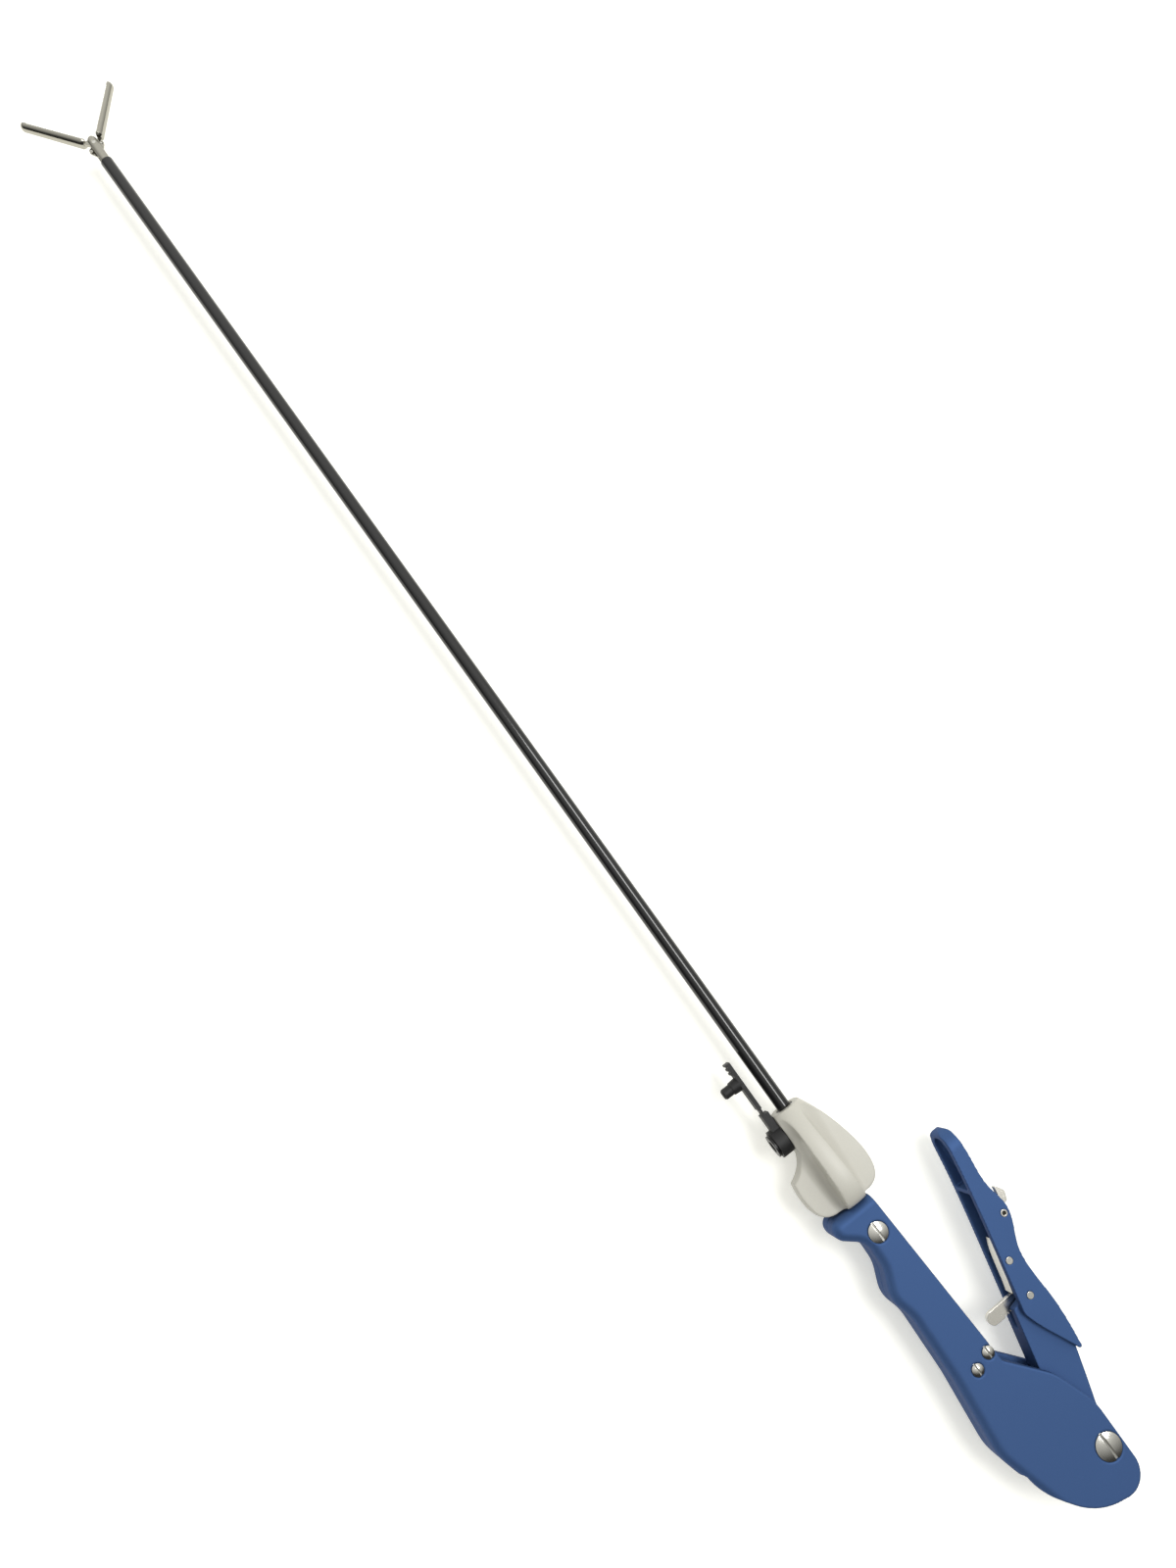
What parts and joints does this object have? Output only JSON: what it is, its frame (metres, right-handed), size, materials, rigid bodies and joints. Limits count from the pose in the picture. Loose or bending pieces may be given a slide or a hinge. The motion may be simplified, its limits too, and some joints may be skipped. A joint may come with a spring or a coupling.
{
  "type": "laparoscopic dissector",
  "caption": "Long slim surgical grasping dissector with a pistol-style ratchet handle, rotating shaft, flush port and two opening jaws.",
  "frame": {"origin": "on the shaft's axis, where the shaft leaves the nose of the rotation knob", "axes": "+X along the shaft to the jaws, +Y to the palm side of the fixed handle, +Z out of the handle's flat side"},
  "size_m": [0.6422, 0.0658, 0.0282],
  "materials": {
    "anodised_blue": "satin blue anodised aluminium",
    "bright_steel": "polished steel",
    "spring_steel": "ground spring steel",
    "jaw_steel": "satin stainless steel",
    "tube_steel": "drawn stainless steel",
    "bush_bronze": "plain bronze",
    "bush_plastic": "natural bearing plastic",
    "grey_moulding": "satin light grey plastic",
    "black_sheath": "satin black shrink sheath",
    "black_moulding": "black moulded plastic",
    "black_rubber": "black elastomer"
  },
  "bodies": {
    "handle": {"handle_half_top": "anodised_blue", "handle_half_bottom": "anodised_blue", "front_screws": "bright_steel", "catch_screws": "bright_steel", "handle_dowels": "bright_steel", "pivot_screw": "bright_steel", "pivot_nut": "bright_steel", "ratchet_catch": "spring_steel", "front_bush": "bush_plastic"},
    "lever": {"lever_arm": "anodised_blue", "lever_shell": "anodised_blue", "lever_rivets": "bright_steel", "leaf_spring": "spring_steel", "release_pin": "bright_steel", "crank_pin": "bright_steel", "pivot_bush": "bush_bronze"},
    "ratchet": {"ratchet_bar": "spring_steel"},
    "release": {"release_lever": "spring_steel"},
    "drive_link": {"drive_link": "spring_steel"},
    "shaft": {"knob": "grey_moulding", "outer_tube": "tube_steel", "insulation_sheath": "black_sheath", "clevis": "jaw_steel", "flush_port": "black_moulding", "cap_ring": "black_rubber", "tube_collar": "tube_steel", "jaw_pivot_pin": "bright_steel", "rod_seal": "black_rubber"},
    "cap": {"port_cap": "black_rubber"},
    "rod": {"push_rod": "tube_steel", "rod_spool": "tube_steel", "rod_pin": "bright_steel"},
    "jaw_left": {"jaw_left": "jaw_steel", "tail_pin_left": "bright_steel"},
    "jaw_right": {"jaw_right": "jaw_steel", "tail_pin_right": "bright_steel"},
    "link_left": {"jaw_link_left": "jaw_steel"},
    "link_right": {"jaw_link_right": "jaw_steel"}
  },
  "joints": [
    {"name": "lever_close", "type": "hinge", "parent": "handle", "child": "lever", "pos_m": [-0.1446, -0.0205, 0], "axis": [0, 0, 1], "range_deg": [0, 14]},
    {"name": "knob_turn", "type": "hinge", "parent": "handle", "child": "shaft", "pos_m": [0, 0, 0], "axis": [1, 0, 0], "continuous": true},
    {"name": "ratchet_swing", "type": "hinge", "parent": "lever", "child": "ratchet", "pos_m": [-0.0947, -0.0293, 0], "axis": [0, 0, 1], "range_deg": [-6, 0], "stiffness_Nm_per_rad": 0.02},
    {"name": "release_switch", "type": "hinge", "parent": "lever", "child": "release", "pos_m": [-0.0698, -0.0388, 0], "axis": [0, 0, 1], "range_deg": [0, 12]},
    {"name": "drive_link_swing", "type": "hinge", "parent": "lever", "child": "drive_link", "pos_m": [-0.14664, -0.01395, 0], "axis": [0, 0, 1], "range_deg": [-12.6, 0]},
    {"name": "rod_slide", "type": "slide", "parent": "shaft", "child": "rod", "axis": [-1, 0, 0], "range_m": [0, 0.00188]},
    {"name": "jaw_left_close", "type": "hinge", "parent": "shaft", "child": "jaw_left", "pos_m": [0.4589, 0, 0], "axis": [0, 0, 1], "range_deg": [-40, 0]},
    {"name": "jaw_right_close", "type": "hinge", "parent": "shaft", "child": "jaw_right", "pos_m": [0.4589, 0, 0], "axis": [0, 0, 1], "range_deg": [0, 40]},
    {"name": "link_left_swing", "type": "hinge", "parent": "rod", "child": "link_left", "pos_m": [0.45346, 0, 0], "axis": [0, 0, 1], "range_deg": [0, 15.67]},
    {"name": "link_right_swing", "type": "hinge", "parent": "rod", "child": "link_right", "pos_m": [0.45346, 0, 0], "axis": [0, 0, 1], "range_deg": [-15.67, 0]},
    {"name": "port_cap_swing", "type": "hinge", "parent": "shaft", "child": "cap", "pos_m": [0.0036, 0.0076, 0], "axis": [0, 0, 1], "range_deg": [0, 100]}
  ],
  "couplings": [
    {"joint": "drive_link_swing", "follows": "lever_close", "ratio": -0.89931},
    {"joint": "rod_slide", "follows": "lever_close", "m_per_rad": 0.0076531},
    {"joint": "jaw_left_close", "follows": "lever_close", "ratio": -2.8571},
    {"joint": "jaw_right_close", "follows": "lever_close", "ratio": 2.8571},
    {"joint": "link_left_swing", "follows": "lever_close", "ratio": 1.1187},
    {"joint": "link_right_swing", "follows": "lever_close", "ratio": -1.1187},
    {"joint": "release_switch", "follows": "ratchet_swing", "ratio": -2}
  ]
}
